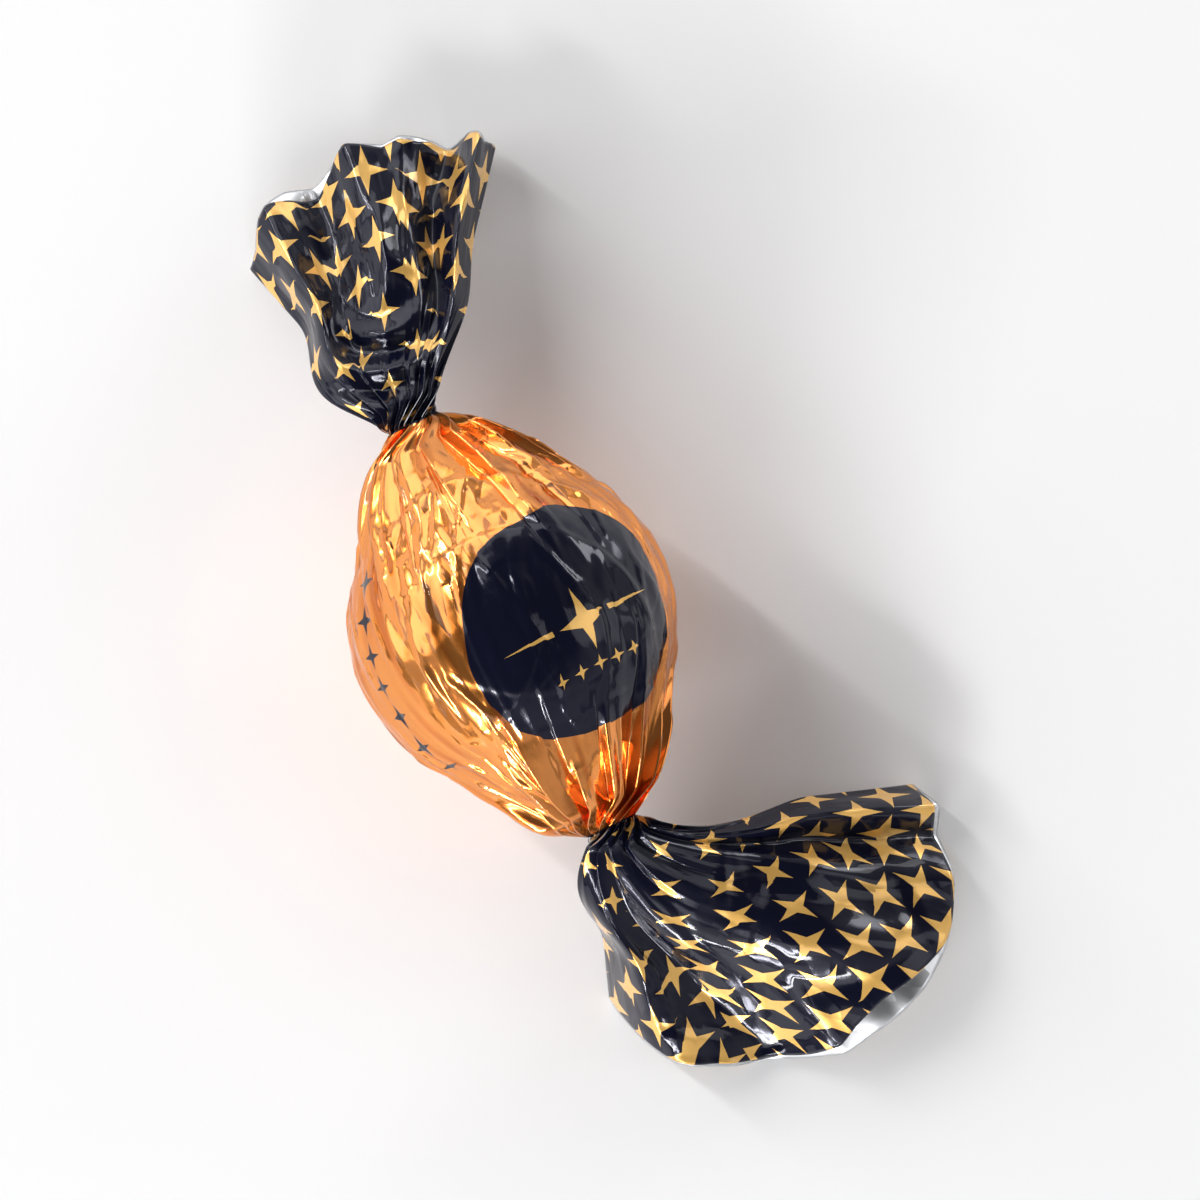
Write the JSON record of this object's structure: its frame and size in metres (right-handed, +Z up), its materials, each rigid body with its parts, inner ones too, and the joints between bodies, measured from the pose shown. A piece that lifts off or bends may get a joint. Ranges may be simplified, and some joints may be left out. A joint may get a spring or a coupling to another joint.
{
  "type": "foil-wrapped chocolate ball",
  "caption": "Round chocolate wrapped in orange-gold foil with a dark disc, gathered at each end into a twisted neck and a dark fan tail printed with gold stars.",
  "frame": {"origin": "middle of the small flat spot that the ball rests on", "axes": "+X from the straight tail through the ball to the bent tail, +Z up through the printed disc's side"},
  "size_m": [0.0962, 0.0426, 0.0293],
  "materials": {
    "orange_foil": "glossy orange-gold lacquered foil, crumpled, with a navy-black printed disc",
    "star_foil": "glossy navy-black lacquered foil with satin gold stars outside and bare silver inside"
  },
  "bodies": {
    "root": {"wrapped_chocolate_ball": "orange_foil"}
  },
  "joints": []
}
